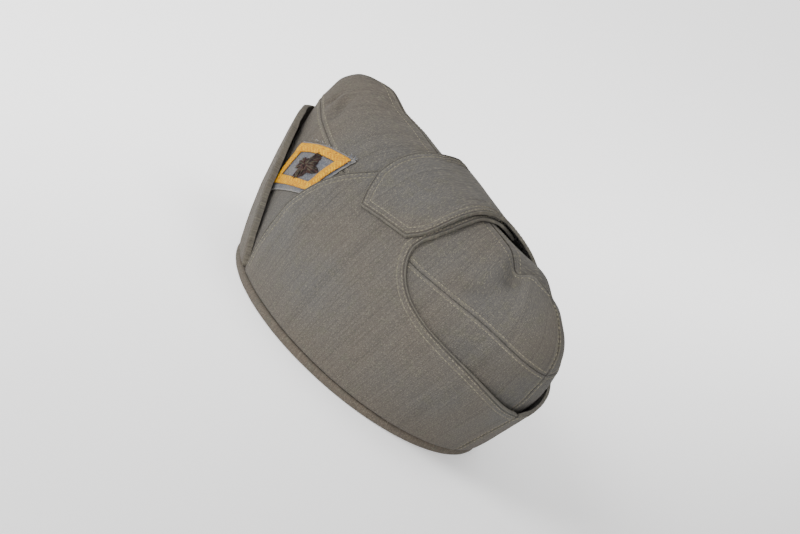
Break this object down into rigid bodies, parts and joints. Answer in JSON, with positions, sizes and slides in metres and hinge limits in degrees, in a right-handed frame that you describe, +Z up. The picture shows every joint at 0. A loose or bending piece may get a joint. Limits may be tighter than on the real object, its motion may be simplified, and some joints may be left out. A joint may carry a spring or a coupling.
{
  "type": "military side cap",
  "caption": "Folding cloth side cap with a high seamed crown, turned-up side flaps whose pointed tongue crosses the crest, an upturned front and a small cloth badge.",
  "frame": {"origin": "on the resting plane, below the middle of the whole cap", "axes": "+Z up from the rim to the crest, -Y toward the front of the cap, +X toward the wearer's left"},
  "size_m": [0.171, 0.275, 0.1339],
  "materials": {
    "twill": "mottled grey-green twill, matt",
    "twill_worn": "the same twill, faded a little browner, matt",
    "twill_rim": "the same twill, rubbed and darker at the rolled rim, matt",
    "patch_blue": "grey-blue felted cloth, matt",
    "braid_yellow": "golden-yellow woven braid, worn, with a slight sheen",
    "motif_brown": "tarnished dark brown thread embroidery"
  },
  "bodies": {
    "root": {"rim_band": "twill_rim", "crown_lower_left": "twill", "crown_lower_right": "twill", "crown_upper_left": "twill_worn", "crown_upper_right": "twill_worn", "flap_left": "twill", "flap_right": "twill", "visor": "twill", "badge_cloth": "patch_blue", "badge_braid": "braid_yellow", "badge_motif": "motif_brown"}
  },
  "joints": []
}
